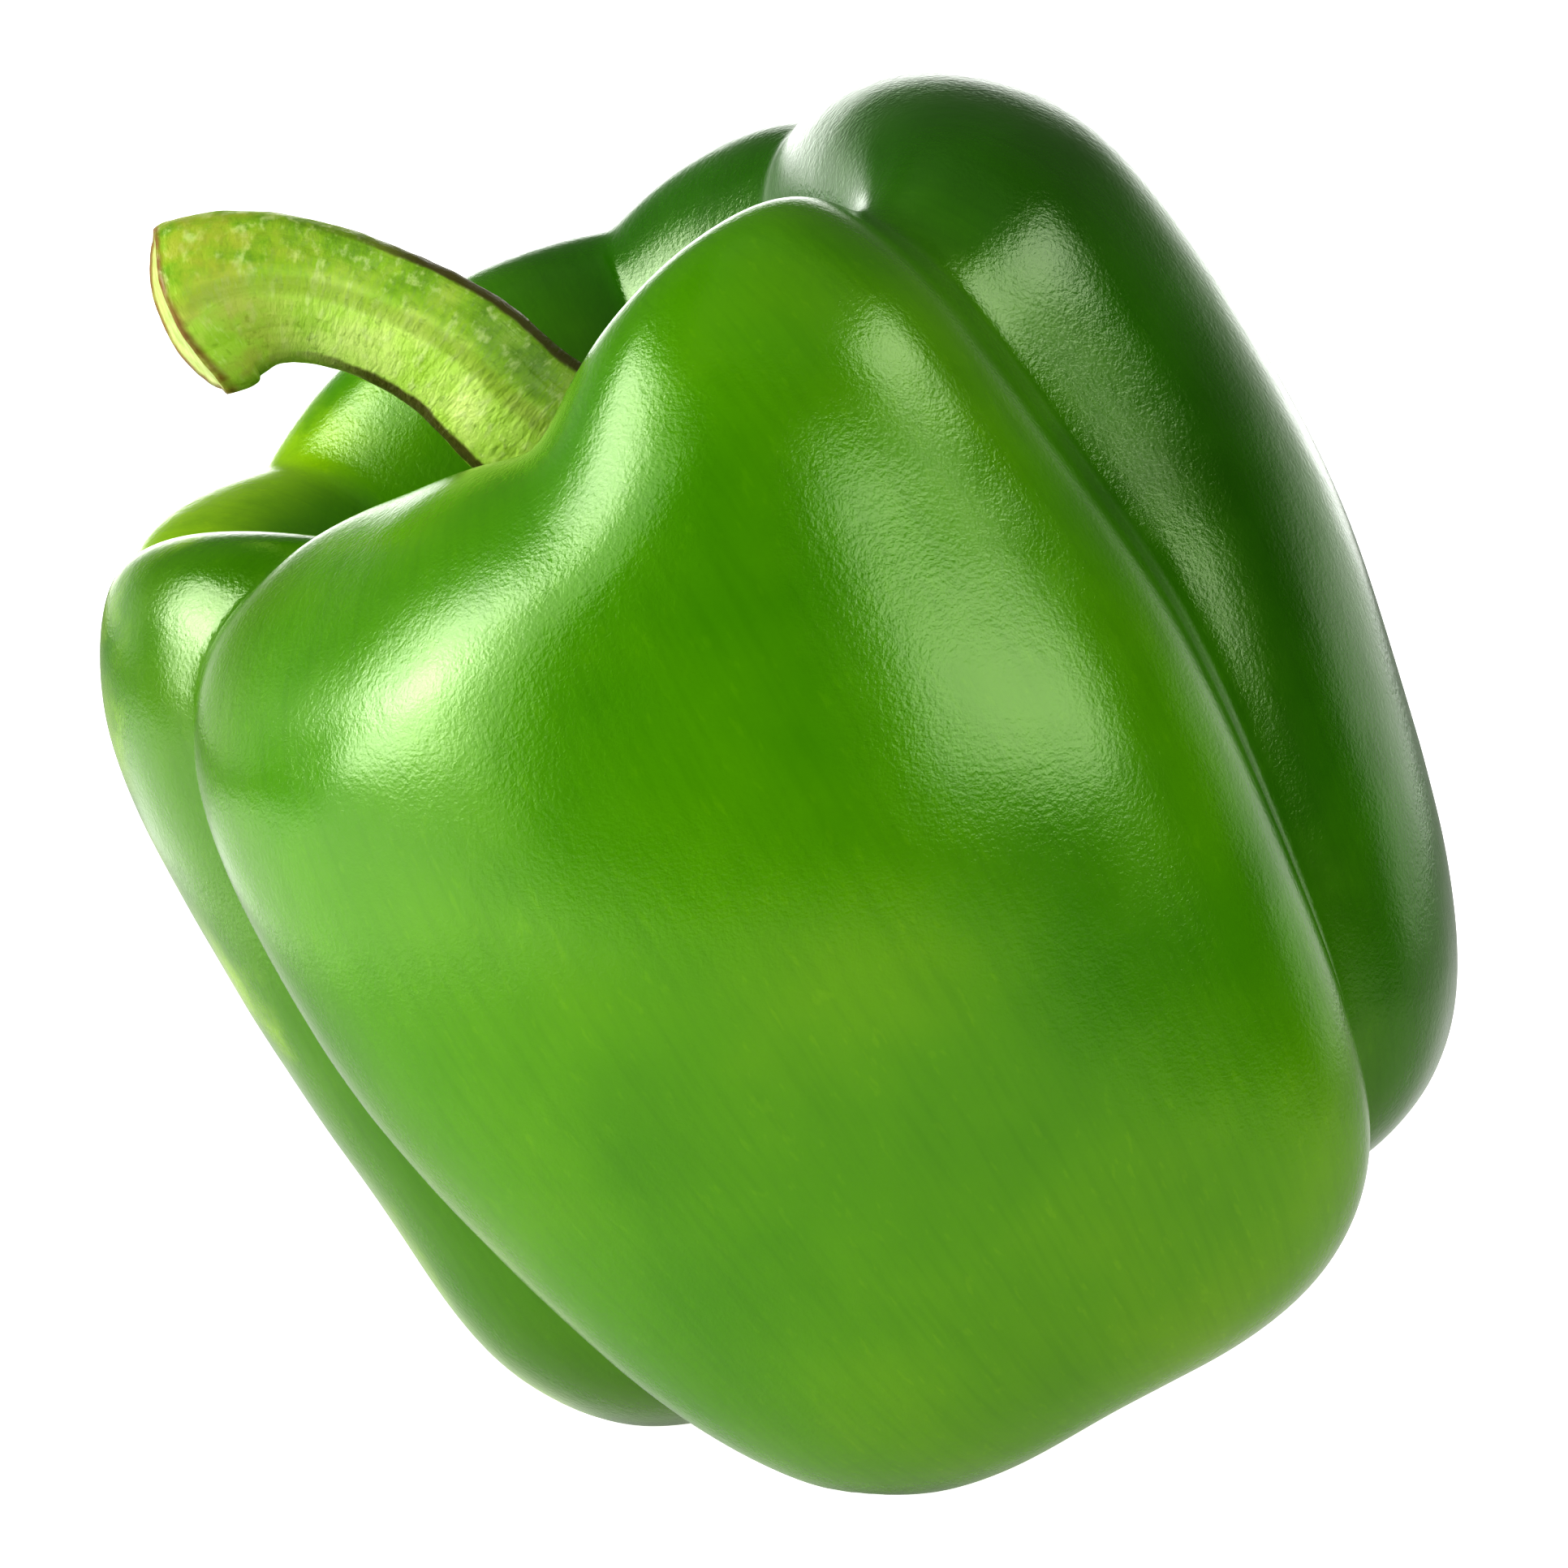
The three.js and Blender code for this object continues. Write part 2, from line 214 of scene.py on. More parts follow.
def closed_mesh(name, first_tip, rings, last_tip, layers):
    """rings is rows x columns x 3. layers maps a name to (first value, ring values, last value)."""
    rows, columns = rings.shape[:2]
    points = np.vstack([first_tip, rings.reshape(-1, 3), last_tip])
    at = 1 + np.arange(rows * columns).reshape(rows, columns)
    side = np.roll(at, -1, axis=1)
    faces = [(0, a, b) for a, b in zip(at[0], side[0])]
    quads = np.stack([at[:-1], at[1:], side[1:], side[:-1]], axis=-1).reshape(-1, 4)
    faces += quads.tolist()
    faces += [(len(points) - 1, b, a) for a, b in zip(at[-1], side[-1])]
    mesh = bpy.data.meshes.new(name)
    mesh.from_pydata(points.tolist(), [], [tuple(int(i) for i in face) for face in faces])
    for layer, (first, values, last) in layers.items():
        values = np.asarray(values, dtype=float)
        vector = values.ndim == 3
        kind = "FLOAT_VECTOR" if vector else "FLOAT"
        attribute = mesh.attributes.new(layer, kind, "POINT")
        width = 3 if vector else 1
        flat = np.vstack([np.reshape(first, (1, width)), values.reshape(-1, width),
                          np.reshape(last, (1, width))])
        attribute.data.foreach_set("vector" if vector else "value", flat.ravel())
    mesh.shade_smooth()
    return into_scene(name, mesh)


def unrolled(turn, radius, along):
    """Places on a plain cylinder, in metres, for patterns that wrap round a piece."""
    cos, sin = around(turn)
    grid = np.ones((len(along), len(turn)))
    return np.stack([grid * cos * radius, grid * sin * radius, grid * along[:, None]], axis=-1) * MM


# %% The fruit's skin before creasing
SKIN_COLUMNS = 400  # points round the fruit
SKIN_ROWS = 214  # steps down each outline
FIRST_LEVEL, LAST_LEVEL = 2.4, 12.4  # the creases' pit and foot levels, as rows
MIDDLE_RADIUS = 45.0  # mm, a typical radius, for patterns that wrap round the fruit
ROW_LENGTH = 9.5  # mm of skin from one row to the next


def skin_fade(row):
    """Creases die out towards the middle of the pit and of the blossom end."""
    pit = np.clip(row / FIRST_LEVEL, 0, 1) ** 1.5
    blossom = np.clip((LAST_ROW - row) / (LAST_ROW - LAST_LEVEL), 0, 1) ** 1.5
    return pit * blossom


def make_smooth_fruit():
    turn = np.arange(SKIN_COLUMNS) * 360.0 / SKIN_COLUMNS
    row = np.linspace(0, LAST_ROW, SKIN_ROWS + 1)[1:-1]
    points, normals = smooth_skin(turn, row)
    grid = np.ones(points.shape[:2])
    level = np.clip((row - FIRST_LEVEL) / (LAST_LEVEL - FIRST_LEVEL), 0, 1)
    flow = unrolled(turn, MIDDLE_RADIUS, row * ROW_LENGTH)
    layers = {
        "turn": (0.0, grid * turn, 0.0),
        "row": (0.0, grid * row[:, None], LAST_ROW),
        "level": (0.0, grid * level[:, None], 1.0),
        "fade": (0.0, grid * skin_fade(row)[:, None], 0.0),
        "outward": ((0, 0, 1), normals, (0, 0, -1)),
        "flow": ((0, 0, 0), flow, (0, 0, LAST_ROW * ROW_LENGTH * MM)),
    }
    pit, end = (0, 0, PIT_FLOOR * MM), (0, 0, BLOSSOM_LEVEL * MM)
    return closed_mesh("bell_pepper_skin", pit, points * MM, end, layers)


fruit = make_smooth_fruit()
print("smooth skin", len(fruit.data.vertices), "points")


# %% [markdown]
# ## Creases, with Geometry Nodes
#
# A crease is a rule: at any point of the skin, take the angle from the crease, divide it by the
# crease's width, and draw the skin in by an amount that dies away with that number. The angle,
# depth, width and softness of each crease drift from the pit down to the foot. One group of nodes
# holds the rule, each crease is a use of it with its own curves, and the depth of every crease is a
# named input, so a pepper with a shallower fold is one number away.

# %% Creases at six levels: pit, crest, shoulder, waist, hip, foot
# Each has its angle, depth (mm), width (degrees) and softness at the six levels. The last number
# is its lean: above 0 it is steeper on the side of the larger angles.
CREASES = {
    "front_left": ([210, 201, 194, 198, 203, 204], [2, 3.5, 7, 8.5, 8.5, 6],
                   [12, 11, 11, 11, 13, 17], [.15, .12, .08, .1, .25, .4], 0.35),
    "left_fold": ([165, 167, 165, 163, 164, 165], [2, 4.5, 3.5, 1, .5, 2],
                  [9, 9, 9, 12, 14, 14], [.15, .15, .3, .5, .5, .5], 0.2),
    "left_rear": ([139, 137, 139, 141, 141, 141], [2, 4.5, 6, 5.5, 5, 5],
                  [12, 12, 12, 12, 14, 16], [.15, .15, .15, .2, .3, .4], 0.0),
    "rear": ([78, 76, 79, 82, 84, 84], [1.5, 3, 4, 4, 4, 4],
             [12, 12, 12, 13, 14, 16], [.15, .15, .15, .2, .3, .4], 0.0),
    "right_rear": ([38, 36, 35, 40, 42, 42], [.5, 2.5, 6, 6, 5.5, 5],
                   [12, 12, 12, 12, 14, 16], [.15, .15, .15, .2, .3, .4], 0.0),
    "front_right": ([330, 322, 317, 318, 319, 320], [3, 9, 8, 6, 6, 4],
                    [14, 16, 15, 12, 11, 14], [.3, .5, .4, .15, .08, .1], -0.3),
    "front_valley": ([257, 257, 262, 264, 264, 261], [3, 6, 2.5, .3, .5, 2],
                     [14, 15, 18, 20, 18, 18], [.25, .3, 1, 1, 1, 1], 0.0),
}


def eased(values):
    """The six levels' values after easing, so that a curve through them has no kinks."""
    v = np.array(values, dtype=float)
    middle = (v[:-2] + 4 * v[1:-1] + v[2:]) / 6
    return [v[0], *middle, v[-1]]


print("creases", {name: f"up to {max(crease[1])} mm deep" for name, crease in CREASES.items()})


# %% Helpers for building a node tree
class Tree:
    """A small hand for wiring nodes: each call adds one node and gives back its output."""

    def __init__(self, tree):
        self.tree = tree

    def node(self, kind, **settings):
        made = self.tree.nodes.new(kind)
        for key, value in settings.items():
            setattr(made, key, value)
        return made

    def feed(self, socket, value):
        if isinstance(value, bpy.types.NodeSocket):
            self.tree.links.new(value, socket)
        elif value is not None:
            socket.default_value = value

    def math(self, operation, a, b=None, c=None):
        made = self.node("ShaderNodeMath", operation=operation)
        for socket, value in zip(made.inputs, (a, b, c)):
            self.feed(socket, value)
        return made.outputs[0]

    def times(self, a, b):
        return self.math("MULTIPLY", a, b)

    def plus(self, a, b):
        return self.math("ADD", a, b)

    def minus(self, a, b):
        return self.math("SUBTRACT", a, b)

    def vector(self, operation, a, b=None, scale=None):
        made = self.node("ShaderNodeVectorMath", operation=operation)
        self.feed(made.inputs[0], a)
        self.feed(made.inputs[1], b)
        if scale is not None:
            self.feed(made.inputs["Scale"], scale)
        return made.outputs[0]

    def measure(self, operation, a, b=None):
        """Vector maths whose result is a number."""
        made = self.node("ShaderNodeVectorMath", operation=operation)
        self.feed(made.inputs[0], a)
        self.feed(made.inputs[1], b)
        return made.outputs["Value"]

    def layer(self, name, kind="FLOAT"):
        made = self.node("GeometryNodeInputNamedAttribute", data_type=kind)
        made.inputs["Name"].default_value = name
        return made.outputs["Attribute"]

    def curve(self, factor, heights, low, high):
        """A smooth curve over 0 to 1 through evenly spaced heights, scaled back to low..high."""
        made = self.node("ShaderNodeFloatCurve")
        points = made.mapping.curves[0].points
        steps = [(i / (len(heights) - 1), (h - low) / (high - low)) for i, h in enumerate(heights)]
        while len(points) < len(steps):
            points.new(0.5, 0.5)
        for point, place in zip(points, steps):
            point.location = place
            point.handle_type = "AUTO"
        made.mapping.update()
        self.feed(made.inputs["Value"], factor)
        return self.math("MULTIPLY_ADD", made.outputs[0], high - low, low)


def spread(hand, value, low, high, to_low=0.0, to_high=1.0):
    """Eases from to_low to to_high while the value goes from low to high."""
    made = hand.node("ShaderNodeMapRange", interpolation_type="SMOOTHSTEP")
    hand.feed(made.inputs[0], value)
    for socket, number in zip(made.inputs[1:5], (low, high, to_low, to_high)):
        hand.feed(socket, number)
    return made.outputs[0]


def noise(hand, where, size_mm, detail=2.0, roughness=0.5):
    """Soft random patches of about the given size. Its pattern is the same in every run."""
    made = hand.node("ShaderNodeTexNoise")
    hand.feed(made.inputs["Vector"], where)
    made.inputs["Scale"].default_value = 1 / (size_mm * MM)
    made.inputs["Detail"].default_value = detail
    made.inputs["Roughness"].default_value = roughness
    return made.outputs[0]


def new_tree(name):
    tree = bpy.data.node_groups.new(name, "GeometryNodeTree")
    tree.interface.new_socket("Geometry", in_out="INPUT", socket_type="NodeSocketGeometry")
    tree.interface.new_socket("Geometry", in_out="OUTPUT", socket_type="NodeSocketGeometry")
    return tree


def add_input(tree, name, kind, value=None):
    socket = tree.interface.new_socket(name, in_out="INPUT", socket_type=kind)
    if value is not None:
        socket.default_value = value
    return socket


# %% The creases' tree
UNEVENNESS = 0.22  # mm, how far the skin wanders between the creases
UNEVEN_SIZE = 11.0  # mm, size of those soft dents
WIDEST_CREASE = 30.0  # degrees, the most that a crease's width can be
SHARPEST = 0.03  # the least softness, which keeps a crease's bottom from becoming a cut


def crease_pull(hand, turn, level, depth_input, crease):
    """How far one crease draws the skin in, in mm."""
    angle, depth, width, softness = [eased(values) for values in crease[:4]]
    peak, lean = max(crease[1]), crease[4]
    low, high = min(angle), max(angle) + 0.01
    place = hand.curve(level, angle, low, high)
    reach = hand.curve(level, width, 0, WIDEST_CREASE)
    soft = hand.math("MAXIMUM", hand.curve(level, softness, 0, 1), SHARPEST)
    shares = [d / peak for d in depth]
    amount = hand.times(hand.curve(level, shares, 0, 1), depth_input)
    away = hand.math("WRAP", hand.minus(turn, place), 180, -180)
    lopsided = hand.math("MULTIPLY_ADD", hand.math("SIGN", away), -lean, 1.0)
    reach = hand.times(reach, lopsided)
    away = hand.math("DIVIDE", away, reach)
    blunt = hand.math("SQRT", hand.plus(hand.times(away, away), hand.times(soft, soft)))
    shape = hand.math("EXPONENT", hand.minus(soft, blunt))
    return hand.times(amount, shape)


def crease_tree():
    tree = new_tree("Creased skin")
    for name, crease in CREASES.items():
        add_input(tree, f"{name} depth mm", "NodeSocketFloat", float(max(crease[1])))
    add_input(tree, "Unevenness mm", "NodeSocketFloat", UNEVENNESS)
    add_input(tree, "Skin", "NodeSocketMaterial")
    hand = Tree(tree)
    inputs = hand.node("NodeGroupInput").outputs
    turn, level = hand.layer("turn"), hand.layer("level")
    pull = 0.0
    for name, crease in CREASES.items():
        pull_here = crease_pull(hand, turn, level, inputs[f"{name} depth mm"], crease)
        pull = hand.plus(pull_here, pull)
    pull = hand.times(pull, hand.layer("fade"))
    dents = hand.minus(noise(hand, None, UNEVEN_SIZE, 1.0), 0.5)
    wander = hand.times(dents, inputs["Unevenness mm"])
    lift = hand.times(hand.minus(wander, pull), MM)
    offset = hand.vector("SCALE", hand.layer("outward", "FLOAT_VECTOR"), scale=lift)
    finish_tree(hand, moved(hand, inputs["Geometry"], offset=offset), inputs["Skin"])
    return tree


def moved(hand, geometry, place=None, offset=None):
    made = hand.node("GeometryNodeSetPosition")
    hand.feed(made.inputs["Geometry"], geometry)
    hand.feed(made.inputs["Position"], place)
    hand.feed(made.inputs["Offset"], offset)
    return made.outputs[0]


def finish_tree(hand, geometry, material):
    """The end of every tree: plain geometry, in one material."""
    realize = hand.node("GeometryNodeRealizeInstances")
    hand.feed(realize.inputs["Geometry"], geometry)
    paint = hand.node("GeometryNodeSetMaterial")
    hand.feed(paint.inputs["Geometry"], realize.outputs[0])
    hand.feed(paint.inputs["Material"], material)
    output = hand.node("NodeGroupOutput")
    hand.feed(output.inputs[0], paint.outputs[0])


# %% Run a tree on a piece and keep the result as a plain mesh
def apply_tree(thing, tree, **values):
    """values are inputs by name, with _ for a space; a modifier knows them by identifier."""
    modifier = thing.modifiers.new(tree.name, "NODES")
    modifier.node_group = tree
    for item in tree.interface.items_tree:
        key = item.name.replace(" ", "_")
        if item.in_out == "INPUT" and key in values:
            modifier[item.identifier] = values[key]
    graph = bpy.context.evaluated_depsgraph_get()
    made = bpy.data.meshes.new_from_object(thing.evaluated_get(graph))
    thing.modifiers.remove(modifier)
    before = thing.data
    thing.data = made
    bpy.data.meshes.remove(before)
    made.name = thing.name
    made.shade_smooth()
    return thing


skin = bpy.data.materials.new("pepper_skin")
creased_skin = crease_tree()
apply_tree(fruit, creased_skin, Skin=skin)
print("creased skin", len(fruit.data.polygons), "faces")


# %% [markdown]
# ## Laying the fruit on the table
#
# The tilted fruit goes where the CAD fruit is: the middles of their boxes line up, and the feet
# reach a little below the table. Flesh can't do that, so what would be below the table is pressed
# up to it, which leaves the small flat spots that a resting pepper has.

# %% Place the fruit
cad_low, cad_high = [Vector(corner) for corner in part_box("fruit")]
FLAT_DEPTH = 0.6 * MM  # how far the feet reach below the table before they are pressed flat


def mesh_points(mesh):
    points = np.empty(len(mesh.vertices) * 3)
    mesh.vertices.foreach_get("co", points)
    return points.reshape(-1, 3)


def lowest_and_highest(mesh):
    points = mesh_points(mesh)
    return Vector(points.min(axis=0)), Vector(points.max(axis=0))


def shift_onto_frame(mesh):
    low, high = lowest_and_highest(mesh)
    shift = (cad_low + cad_high - low - high) / 2
    shift.z = -low.z - FLAT_DEPTH
    return Matrix.Translation(shift)


fruit.data.transform(LAY_DOWN)
TO_FRAME = shift_onto_frame(fruit.data)
fruit.data.transform(TO_FRAME)
PLACE = TO_FRAME @ LAY_DOWN


def press_on_table(mesh):
    points = mesh_points(mesh)
    touching = points[:, 2] < 0
    points[touching, 2] = 0
    mesh.vertices.foreach_set("co", points.ravel())
    mesh.update()
    return int(touching.sum())


print("points pressed flat", press_on_table(fruit.data), "moved by",
      [round(v / MM, 2) for v in TO_FRAME.translation])


# %% [markdown]
# ## The calyx
#
# The calyx is the green star at the foot of the stem. It grew pressed to the pit, so it follows the
# skin beneath it, thins to its edge, and has a raised rib down each sepal. It is built on the same
# outline as the skin, lifted by its thickness, and the same nodes crease it.

# %% Shape of the calyx
CALYX_GAP = 0.4  # mm of air over the skin, so the two pieces never cut into each other
CALYX_FOOT = PIT_FLOOR + CALYX_GAP  # mm, height of the underside's middle
CALYX_THICKNESS = 1.5  # mm at the middle
CALYX_THINNING = 0.6  # share of the thickness that is lost by the edge
CALYX_POINTS = 5  # sepals
CALYX_REACH = 1.7  # row of the outline that the sepals' tips reach
CALYX_SCALLOP = 0.45  # rows, how far the edge draws back between two sepals
CALYX_COLUMNS = 300  # points round it
CALYX_ROWS = 24  # rings from its middle to its edge
SEPAL_RIB = 0.28  # mm, height of the rib down each sepal


def smooth_skin_ring(turn, rows):
    """One ring on the smooth skin whose row differs from angle to angle."""
    points, normals = smooth_skin(turn, rows)
    pick = np.arange(len(turn))
    return points[pick, pick], normals[pick, pick]


def calyx_points():
    """The calyx as rings: down its upper face to the edge, and back along its underside."""
    turn = np.arange(CALYX_COLUMNS) * 360.0 / CALYX_COLUMNS
    sepal = 0.5 + 0.5 * np.cos(np.radians(turn * CALYX_POINTS))
    edge = CALYX_REACH - CALYX_SCALLOP * (1 - sepal)
    share = np.arange(1, CALYX_ROWS + 1) / CALYX_ROWS
    top, under, outward, fade = [], [], [], []
    for part in share:
        points, normals = smooth_skin_ring(turn, edge * part)
        outward.append(normals)
        fade.append(skin_fade(edge * part))
        thick = CALYX_GAP + CALYX_THICKNESS * (1 - CALYX_THINNING * part ** 2)
        rib = SEPAL_RIB * sepal ** 12 * (1 - part ** 4)
        top.append(points + normals * (thick + rib)[:, None])
        under.append(points + normals * CALYX_GAP)
    rings = np.array(top + under[::-1])
    reach = np.concatenate([share, share[::-1]])
    return turn, reach, rings, np.array(outward + outward[::-1]), np.array(fade + fade[::-1])


# %% Grow the calyx and crease it with the skin's own tree
def make_calyx():
    turn, reach, rings, outward, fade = calyx_points()
    grid = np.ones(rings.shape[:2])
    layers = {
        "turn": (0.0, grid * turn, 0.0),
        "reach": (0.0, grid * reach[:, None], 0.0),
        "level": (0.0, 0 * grid, 0.0),
        "fade": (0.0, fade, 0.0),
        "outward": ((0, 0, 1), outward, (0, 0, 1)),
        "sepal": (1.0, grid * np.cos(np.radians(turn * CALYX_POINTS)), 1.0),
    }
    top = (0, 0, (CALYX_FOOT + CALYX_THICKNESS) * MM)
    under = (0, 0, CALYX_FOOT * MM)
    return closed_mesh("calyx_star", top, rings * MM, under, layers)


calyx = make_calyx()
leaf = bpy.data.materials.new("calyx_green")
apply_tree(calyx, creased_skin, Skin=leaf)
calyx.data.transform(PLACE)
print("calyx", len(calyx.data.polygons), "faces")


# %% [markdown]
# ## The stem, with Geometry Nodes
#
# The stem is a ribbed stalk that climbs out of the pit, hooks over and flares like a hoof where it
# was cut. It follows a path, so nodes carry a straight tube along one: each point of the tube knows
# its share of the length and its angle round the stalk, and the nodes look up the path's place and
# direction there. The number of ribs and their height are inputs.

# %% The stem's path and its thickness (mm, upright pepper)
STEM_GAP = 0.4  # mm of air over the calyx
STEM_PATH = [
    (0, 0, CALYX_FOOT + CALYX_THICKNESS + STEM_GAP),
    (-2.2, 0, 74),
    (-5.6, 0, 81),
    (-8.1, 0, 88.4),
    (-12.3, 0, 94.7),
    (-16.2, -0.3, 98.5),
    (-19.9, -0.8, 100.4),
    (-23.4, -1.3, 101.0),
]
STEM_HALF_HEIGHT = [5.8, 5.8, 5.7, 5.4, 5.1, 5.0, 5.5, 7.2]
STEM_HALF_DEPTH = [5.8, 5.8, 5.6, 5.3, 5.0, 5.0, 5.2, 5.8]
THICKEST = 10.0  # mm, the most that half a height or half a depth can be
STEM_SIDES = 180  # points round the stalk
STEM_STEPS = 200  # steps along it
STEM_CAP_RINGS = 14  # rings that close each end
STEM_RADIUS = 5.5  # mm, a typical radius, for patterns that wrap round the stem
STEM_LENGTH = 42.0  # mm along the path
WORN_FROM, WORN_EDGE = 0.955, 0.09  # the last of the wall narrows, so the cut has a blunt edge


def make_stem_path():
    curve = bpy.data.curves.new("stem_path", "CURVE")
    curve.dimensions = "3D"
    curve.resolution_u = 24
    spline = curve.splines.new("BEZIER")
    spline.bezier_points.add(len(STEM_PATH) - 1)
    for point, place in zip(spline.bezier_points, STEM_PATH):
        point.co = Vector(place) * MM
        point.handle_left_type = point.handle_right_type = "AUTO"
    return into_scene("stem_path", curve)


stem_path = make_stem_path()
print("stem path through", len(STEM_PATH), "points, up to", STEM_PATH[-1], "mm")


# %% The straight tube that the nodes will carry
def make_stem_tube():
    """A tube of radius 1 and length 1 along Z, whose layers tell the nodes where each point is."""
    turn = np.arange(STEM_SIDES) * 360.0 / STEM_SIDES
    cap = np.arange(1, STEM_CAP_RINGS + 1) / (STEM_CAP_RINGS + 1)
    wall = np.linspace(0, 1, STEM_STEPS + 1)
    worn = np.clip((wall - WORN_FROM) / (1 - WORN_FROM), 0, 1) ** 2 * WORN_EDGE
    along = np.concatenate([0 * cap, wall, 0 * cap + 1])
    reach = np.concatenate([cap, 1 - worn, cap[::-1] * (1 - WORN_EDGE)])
    cut = np.concatenate([0 * cap, 0 * wall, 0 * cap + 1])
    cos, sin = around(turn)
    grid = np.ones((len(along), len(turn)))
    upward = grid * along[:, None]
    rings = np.stack([reach[:, None] * cos, reach[:, None] * sin, upward], axis=-1)
    layers = {
        "turn": (0.0, grid * turn, 0.0),
        "along": (0.0, upward, 1.0),
        "reach": (0.0, grid * reach[:, None], 0.0),
        "cut": (0.0, grid * cut[:, None], 1.0),
        "flow": ((0, 0, 0), unrolled(turn, STEM_RADIUS, along * STEM_LENGTH),
                 (0, 0, STEM_LENGTH * MM)),
    }
    return closed_mesh("hooked_stem", (0, 0, 0), rings * MM, (0, 0, MM), layers)


stem = make_stem_tube()
print("straight tube", len(stem.data.vertices), "points")


# %% Parts of the stem's tree: where the path is, the ribbed section, and the cut end
STEM_RIBS = 5.0
FIRST_RIB = math.radians(16.0)  # angle of the rib nearest the top
RIB_HEIGHT = 0.06  # share of the stem's radius
FOOT_SHARE = 0.001  # below this share of its length the stem stands straight up
HEEL = 0.3  # mm, how far the underside flares down at the cut
HEEL_SHARPNESS = 1.6  # above 1, the flare keeps to the underside
CUT_BULGE = 2.3  # mm, how far the cut's middle stands out beyond its top and bottom
CUT_SLANT = 0.5  # mm, how far the cut's top stands out, and its bottom falls back
CUT_HOLLOW = 0.5  # mm, how far the cut sinks inside its edge


def along_the_path(hand, path_object, along):
    """The path's place at a share of its length, its heading, and two directions across it."""
    path = hand.node("GeometryNodeObjectInfo", transform_space="ORIGINAL")
    hand.feed(path.inputs["Object"], path_object)
    sample = hand.node("GeometryNodeSampleCurve", mode="FACTOR", use_all_curves=True)
    hand.feed(sample.inputs["Curves"], path.outputs["Geometry"])
    hand.feed(sample.inputs["Factor"], along)
    mix = hand.node("ShaderNodeMix", data_type="VECTOR")
    hand.feed(mix.inputs["Factor"], hand.math("LESS_THAN", along, FOOT_SHARE))
    hand.feed(mix.inputs[4], sample.outputs["Tangent"])
    mix.inputs[5].default_value = (0, 0, 1)
    heading = hand.vector("NORMALIZE", mix.outputs[1])
    upper = hand.vector("NORMALIZE", hand.vector("CROSS_PRODUCT", (0, 1, 0), heading))
    across = hand.vector("NORMALIZE", hand.vector("CROSS_PRODUCT", upper, heading))
    return sample.outputs["Position"], heading, upper, across


def ribbed_section(hand, inputs, turn, along, reach):
    """How far a point of the stalk's section lies above the path, and how far to its side."""
    half_height = hand.curve(along, eased(STEM_HALF_HEIGHT), 0, THICKEST)
    half_depth = hand.curve(along, eased(STEM_HALF_DEPTH), 0, THICKEST)
    half_turns = hand.times(inputs["Ribs"], 0.5)  # a cosine without its sign has two humps a turn
    wave = hand.math("COSINE", hand.times(hand.minus(turn, FIRST_RIB), half_turns))
    wave = hand.minus(hand.math("ABSOLUTE", wave), 0.5)
    rib = hand.math("MULTIPLY_ADD", wave, inputs["Rib height"], 1.0)
    size = hand.times(hand.times(rib, reach), MM)
    upward = hand.math("COSINE", turn)
    below = hand.math("MAXIMUM", hand.times(upward, -1.0), 0.0)
    below = hand.math("POWER", below, HEEL_SHARPNESS)
    flare = hand.times(below, spread(hand, along, 0.78, 0.97))
    heel = hand.times(flare, inputs["Heel mm"])
    half_height = hand.plus(half_height, heel)
    rise = hand.times(hand.times(upward, half_height), size)
    side = hand.times(hand.times(hand.math("SINE", turn), half_depth), size)
    return rise, side


def cut_end(hand, inputs, turn, along, reach):
    """How far the cut stands out along the stem: it bulges, slants, and sinks inside its edge."""
    inward = hand.minus(1.0, hand.math("POWER", reach, 3.0))
    sink = hand.times(hand.layer("cut"), inward)
    sink = hand.times(hand.times(sink, inputs["Cut hollow mm"]), -MM)
    height = hand.times(hand.math("COSINE", turn), reach)
    round_end = hand.minus(1.0, hand.times(height, height))
    slant = hand.times(height, inputs["Cut slant mm"])
    bulge = hand.math("MULTIPLY_ADD", round_end, inputs["Cut bulge mm"], slant)
    near_cut = hand.times(spread(hand, along, 0.8, 1.0), MM)
    return hand.plus(sink, hand.times(bulge, near_cut))


# %% The tree itself, which uses those three
KNOBBINESS = 0.35  # mm, how far the stalk's knobs stand out
KNOB_SIZE = 3.5  # mm, size of those knobs
SIZES = {"Ribs": STEM_RIBS, "Rib height": RIB_HEIGHT, "Heel mm": HEEL,
         "Cut bulge mm": CUT_BULGE, "Cut slant mm": CUT_SLANT, "Cut hollow mm": CUT_HOLLOW,
         "Knobbiness mm": KNOBBINESS}


def knobbly(hand, geometry, knobbiness):
    """Moves each point in or out along its normal, by soft noise."""
    knobs = hand.minus(noise(hand, None, KNOB_SIZE), 0.5)
    bump = hand.times(knobs, hand.times(knobbiness, MM))
    normal = hand.node("GeometryNodeInputNormal").outputs[0]
    return moved(hand, geometry, offset=hand.vector("SCALE", normal, scale=bump))


def stem_tree():
    tree = new_tree("Stem along its path")
    add_input(tree, "Path", "NodeSocketObject")
    for name, value in SIZES.items():
        add_input(tree, name, "NodeSocketFloat", value)
    add_input(tree, "Rind", "NodeSocketMaterial")
    hand = Tree(tree)
    inputs = hand.node("NodeGroupInput").outputs
    along, reach = hand.layer("along"), hand.layer("reach")
    turn = hand.math("RADIANS", hand.layer("turn"))
    place, heading, upper, across = along_the_path(hand, inputs["Path"], along)
    rise, side = ribbed_section(hand, inputs, turn, along, reach)
    outwards = cut_end(hand, inputs, turn, along, reach)
    for direction, distance in ((upper, rise), (across, side), (heading, outwards)):
        place = hand.vector("ADD", place, hand.vector("SCALE", direction, scale=distance))
    shape = moved(hand, inputs["Geometry"], place)
    finish_tree(hand, knobbly(hand, shape, inputs["Knobbiness mm"]), inputs["Rind"])
    return tree


